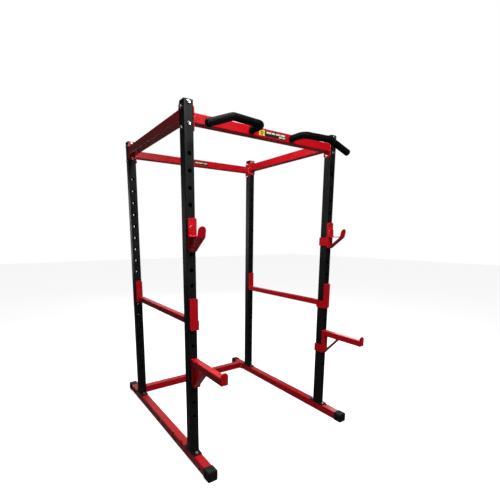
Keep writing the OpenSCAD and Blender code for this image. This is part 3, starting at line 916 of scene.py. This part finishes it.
def section(middle, axis, width, height, corner=TUBE_CORNER):
    """Points round a tube's outline, in the plane across an axis (0, 1, 2 for X, Y, Z)."""
    units = [Vector([1.0 if i == k else 0.0 for i in range(3)]) for k in range(3) if k != axis]
    return [middle + units[0] * u + units[1] * v for u, v in rounded_rect(width / 2, height / 2, corner)]


def ends_of(node, axis, inset):
    """The middles of a node's two end faces along an axis, moved in by a distance."""
    low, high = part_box(node)
    for end, inward in ((low, inset), (high, -inset)):
        middle = (low + high) / 2
        middle[axis] = end[axis] + inward
        yield middle


def make_frame_welds():
    """Beads round the tubes' ends on their flanges, round the uprights' feet and the handles' roots."""
    bm = bmesh.new()
    # Each member's name, the axis it runs along, and its width and height across that axis
    members = [
        ("top_side_tube_left", 1, TUBE, TUBE),
        ("top_side_tube_right", 1, TUBE, TUBE),
        ("top_crossmember", 0, BEAM_H, BEAM_H),
        ("pull_up_beam", 0, TUBE, BEAM_H),
        ("base_crossmember", 0, TUBE, TUBE),
    ]
    for node, axis, width, height in members:
        for middle in ends_of(node, axis, FLANGE_T):
            bead(bm, section(middle, axis, width, height), AXES[axis])
    new_piece("frame_welds", bm, "frame", "red_powder", smooth=WELD_SMOOTH)

    bm = bmesh.new()
    plate_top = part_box("foot_plates")[1].z
    for end in ("front", "rear"):
        for side_name in SIDES:
            low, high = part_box(f"upright_{end}_{side_name}")
            middle = (low + high) / 2
            middle.z = plate_top
            bead(bm, section(middle, 2, TUBE, TUBE), AXES[2])
    for side in SIDES.values():
        ring = circle(TUBE_R, 0, HANDLE_WELD_POINTS, along_handle(side, 0))
        bead(bm, ring, AXES[1], HANDLE_WELD_R)
    new_piece("upright_and_handle_welds", bm, "frame", "black_powder", smooth=WELD_SMOOTH)


def lines_across(bm, node, axis, value, radius, both):
    """Beads along X where a brace ends on a face that crosses an axis (1 or 2) at a value.

    They lie on the end's higher side, or on both sides of it.
    """
    points = [v.co for v in frame["nodes"][node].data.vertices if abs(v.co[axis] - value) < ON_FACE]
    low, high = span_of(points)[:2]
    other = 3 - axis
    for edge in (low, high) if both else (high,):
        ends = [Vector((x, 0, 0)) for x in (low.x + radius, high.x - radius)]
        for end in ends:
            end[axis] = value
            end[other] = edge[other]
        bead(bm, ends, AXES[axis], radius, closed=False)


def make_hook_welds(side_name):
    """Round the cradle's back leg where it lies on the plate, and along both ends of the brace."""
    bm = bmesh.new()
    low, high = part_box(f"j_hook_cradle_{side_name}")
    half = (high.x - low.x) / 2
    middle_x = (low.x + high.x) / 2
    outline = [Vector((low.x, high.y, low.z))]
    for step in range(HOOK_ARC_STEPS + 1):
        angle = math.pi * (1 - step / HOOK_ARC_STEPS)
        x = middle_x + half * math.cos(angle)
        z = high.z - half + half * math.sin(angle)
        outline.append(Vector((x, high.y, z)))
    outline.append(Vector((high.x, high.y, low.z)))
    bead(bm, outline, AXES[1], HOOK_WELD_R, closed=False)
    brace = f"j_hook_brace_{side_name}"
    brace_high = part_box(brace)[1]
    for axis in (1, 2):
        lines_across(bm, brace, axis, brace_high[axis], HOOK_WELD_R, both=False)
    new_piece(f"j_hook_welds_{side_name}", bm, f"j_hook_{side_name}", "red_powder", smooth=WELD_SMOOTH)


def make_spotter_welds(side_name):
    """Round the arm at its tip and at its block, and along both ends of the brace."""
    bm = bmesh.new()
    arm = f"spotter_arm_{side_name}"
    low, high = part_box(arm)
    size = high - low
    for middle, radius in zip(ends_of(arm, 1, 0), ARM_WELD_RADII):
        bead(bm, section(middle, 1, size.x, size.z), AXES[1], radius)
    brace = f"spotter_brace_{side_name}"
    brace_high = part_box(brace)[1]
    for axis in (1, 2):
        lines_across(bm, brace, axis, brace_high[axis], SPOTTER_BRACE_WELD_R, both=True)
    new_piece(f"spotter_welds_{side_name}", bm, f"spotter_{side_name}", "red_powder", smooth=WELD_SMOOTH)


def make_safety_welds(side_name):
    """Round the bar at the plate on its front end, and on three sides of it at the rear bracket."""
    bm = bmesh.new()
    low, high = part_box(f"safety_bar_{side_name}")
    front = (low + high) / 2
    front.y = low.y
    outline = section(front, 1, high.x - low.x, high.z - low.z, SAFETY_CORNER)
    bead(bm, outline, AXES[1], SAFETY_FRONT_WELD_R)
    plate_low, plate_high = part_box(f"safety_rear_bracket_{side_name}")
    if SIDES[side_name] > 0:
        inner, outer = plate_low.x, high.x
    else:
        inner, outer = plate_high.x, low.x
    corners = [(inner, low.z), (outer, low.z), (outer, high.z), (inner, high.z)]
    run = [Vector((x, high.y, z)) for x, z in corners]
    bead(bm, run, AXES[1], SAFETY_REAR_WELD_R, closed=False)
    new_piece(f"safety_welds_{side_name}", bm, f"safety_{side_name}", "red_powder", smooth=WELD_SMOOTH)


# ---------------------------------------------------------------- labels

SHEET_CORNER = 3 * MM
BAR_CORNER = 1.5 * MM
PLATE_CORNER = 1 * MM
# Which ink a patch of the beam's label has: the label's own black, then its inks in order
BLACK, YELLOW, OLIVE, PALE = 0, 1, 2, 3
# Height of each printed layer, as a share of the label's whole thickness
SHEET_LAYER = 0.6
TILE_LAYER = 0.75
SIGN_LAYER = 0.9
TILE_W = 46 * MM
TILE_MARGIN = 1 * MM
TILE_CORNER = 2.5 * MM
# The sign: a disc with a bar across it, and plates on the bar at distances out from its middle
SIGN_R = 13 * MM
SIGN_SIDES = 40
SIGN_BAR = (19 * MM, 3.2 * MM)
SIGN_BAR_CORNER = 1.2 * MM
SIGN_PLATES = {5.2 * MM: (2.8 * MM, 12 * MM), 8.2 * MM: (2.4 * MM, 8 * MM)}
LABEL_SMOOTH = 30


def label_place(node):
    """A place in the middle of a label's back, with +Z out of its face, and the label's size."""
    low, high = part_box(node)
    middle = (low + high) / 2
    return Matrix.Translation((middle.x, high.y, middle.z)) @ FACE_FRONT, high - low


def patch(bm, place, middle, size, corner, layer, ink):
    """A flat shape with round corners, from the sheet's back up to a layer."""
    spot = place @ Matrix.Translation((*middle, 0))
    loft(bm, [soft_ring(size[0] / 2, size[1] / 2, corner, z, spot) for z in (0, layer)], ink=ink)


def bars_in_row(bm, place, row_z, bar_h, bars, layer, ink):
    """A row of bars, each from one X to another in millimetres from the label's middle."""
    for start, end in bars:
        middle = ((start + end) / 2 * MM, row_z)
        patch(bm, place, middle, ((end - start) * MM, bar_h), BAR_CORNER, layer, ink)


def make_beam_label():
    """A plain label: a yellow tile with a barbell sign, and rows of bars in place of words."""
    place, (width, depth, height) = label_place("beam_label")
    bm = bmesh.new()
    patch(bm, place, (0, 0), (width, height), SHEET_CORNER, depth * SHEET_LAYER, BLACK)
    tile_size = (TILE_W, height - 2 * TILE_MARGIN)
    tile_x = -width / 2 + TILE_W / 2 + TILE_MARGIN
    patch(bm, place, (tile_x, 0), tile_size, TILE_CORNER, depth * TILE_LAYER, YELLOW)
    spot = place @ Matrix.Translation((tile_x, 0, 0))
    loft(bm, [circle(SIGN_R, z, SIGN_SIDES, spot) for z in (0, depth * SIGN_LAYER)], ink=OLIVE)
    patch(bm, place, (tile_x, 0), SIGN_BAR, SIGN_BAR_CORNER, depth, YELLOW)
    for side in SIDES.values():
        for out, size in SIGN_PLATES.items():
            patch(bm, place, (tile_x + side * out, 0), size, PLATE_CORNER, depth, YELLOW)
    bars_in_row(bm, place, 6.5 * MM, 11 * MM, [(-54, -14), (-9, 18), (24, 60), (66, 106)], depth, PALE)
    bars_in_row(bm, place, -8 * MM, 8 * MM, [(52, 78), (83, 108)], depth, PALE)
    new_piece("beam_label_printed", bm, "frame", "label", ["beam_label"], smooth=LABEL_SMOOTH,
              inks=(YELLOW_INK, OLIVE_INK, PALE_INK))


def make_crossmember_label():
    """A plain black label with one row of bars, in the only ink it has besides its black."""
    only_ink = 1
    place, (width, depth, height) = label_place("crossmember_label")
    bm = bmesh.new()
    patch(bm, place, (0, 0), (width, height), SHEET_CORNER, depth * SHEET_LAYER, BLACK)
    bars_in_row(bm, place, 2 * MM, 9 * MM, [(-60, -30), (-25, 12), (17, 60)], depth, only_ink)
    new_piece("crossmember_label_printed", bm, "frame", "label", ["crossmember_label"],
              smooth=LABEL_SMOOTH, inks=(PALE_INK,))


# ---------------------------------------------------------------- run

make_camera()
make_studio()
finish_nodes()
make_fasteners()
make_runner_caps("front_runner_caps", "front_caps_moulded")
make_runner_caps("rear_runner_caps", "rear_caps_moulded")
make_upright_plugs()
make_handle_plugs()
make_frame_welds()
make_beam_label()
make_crossmember_label()
for side_name in SIDES:
    make_grip(side_name)
    make_hook_welds(side_name)
    make_spotter_welds(side_name)
    make_safety_welds(side_name)
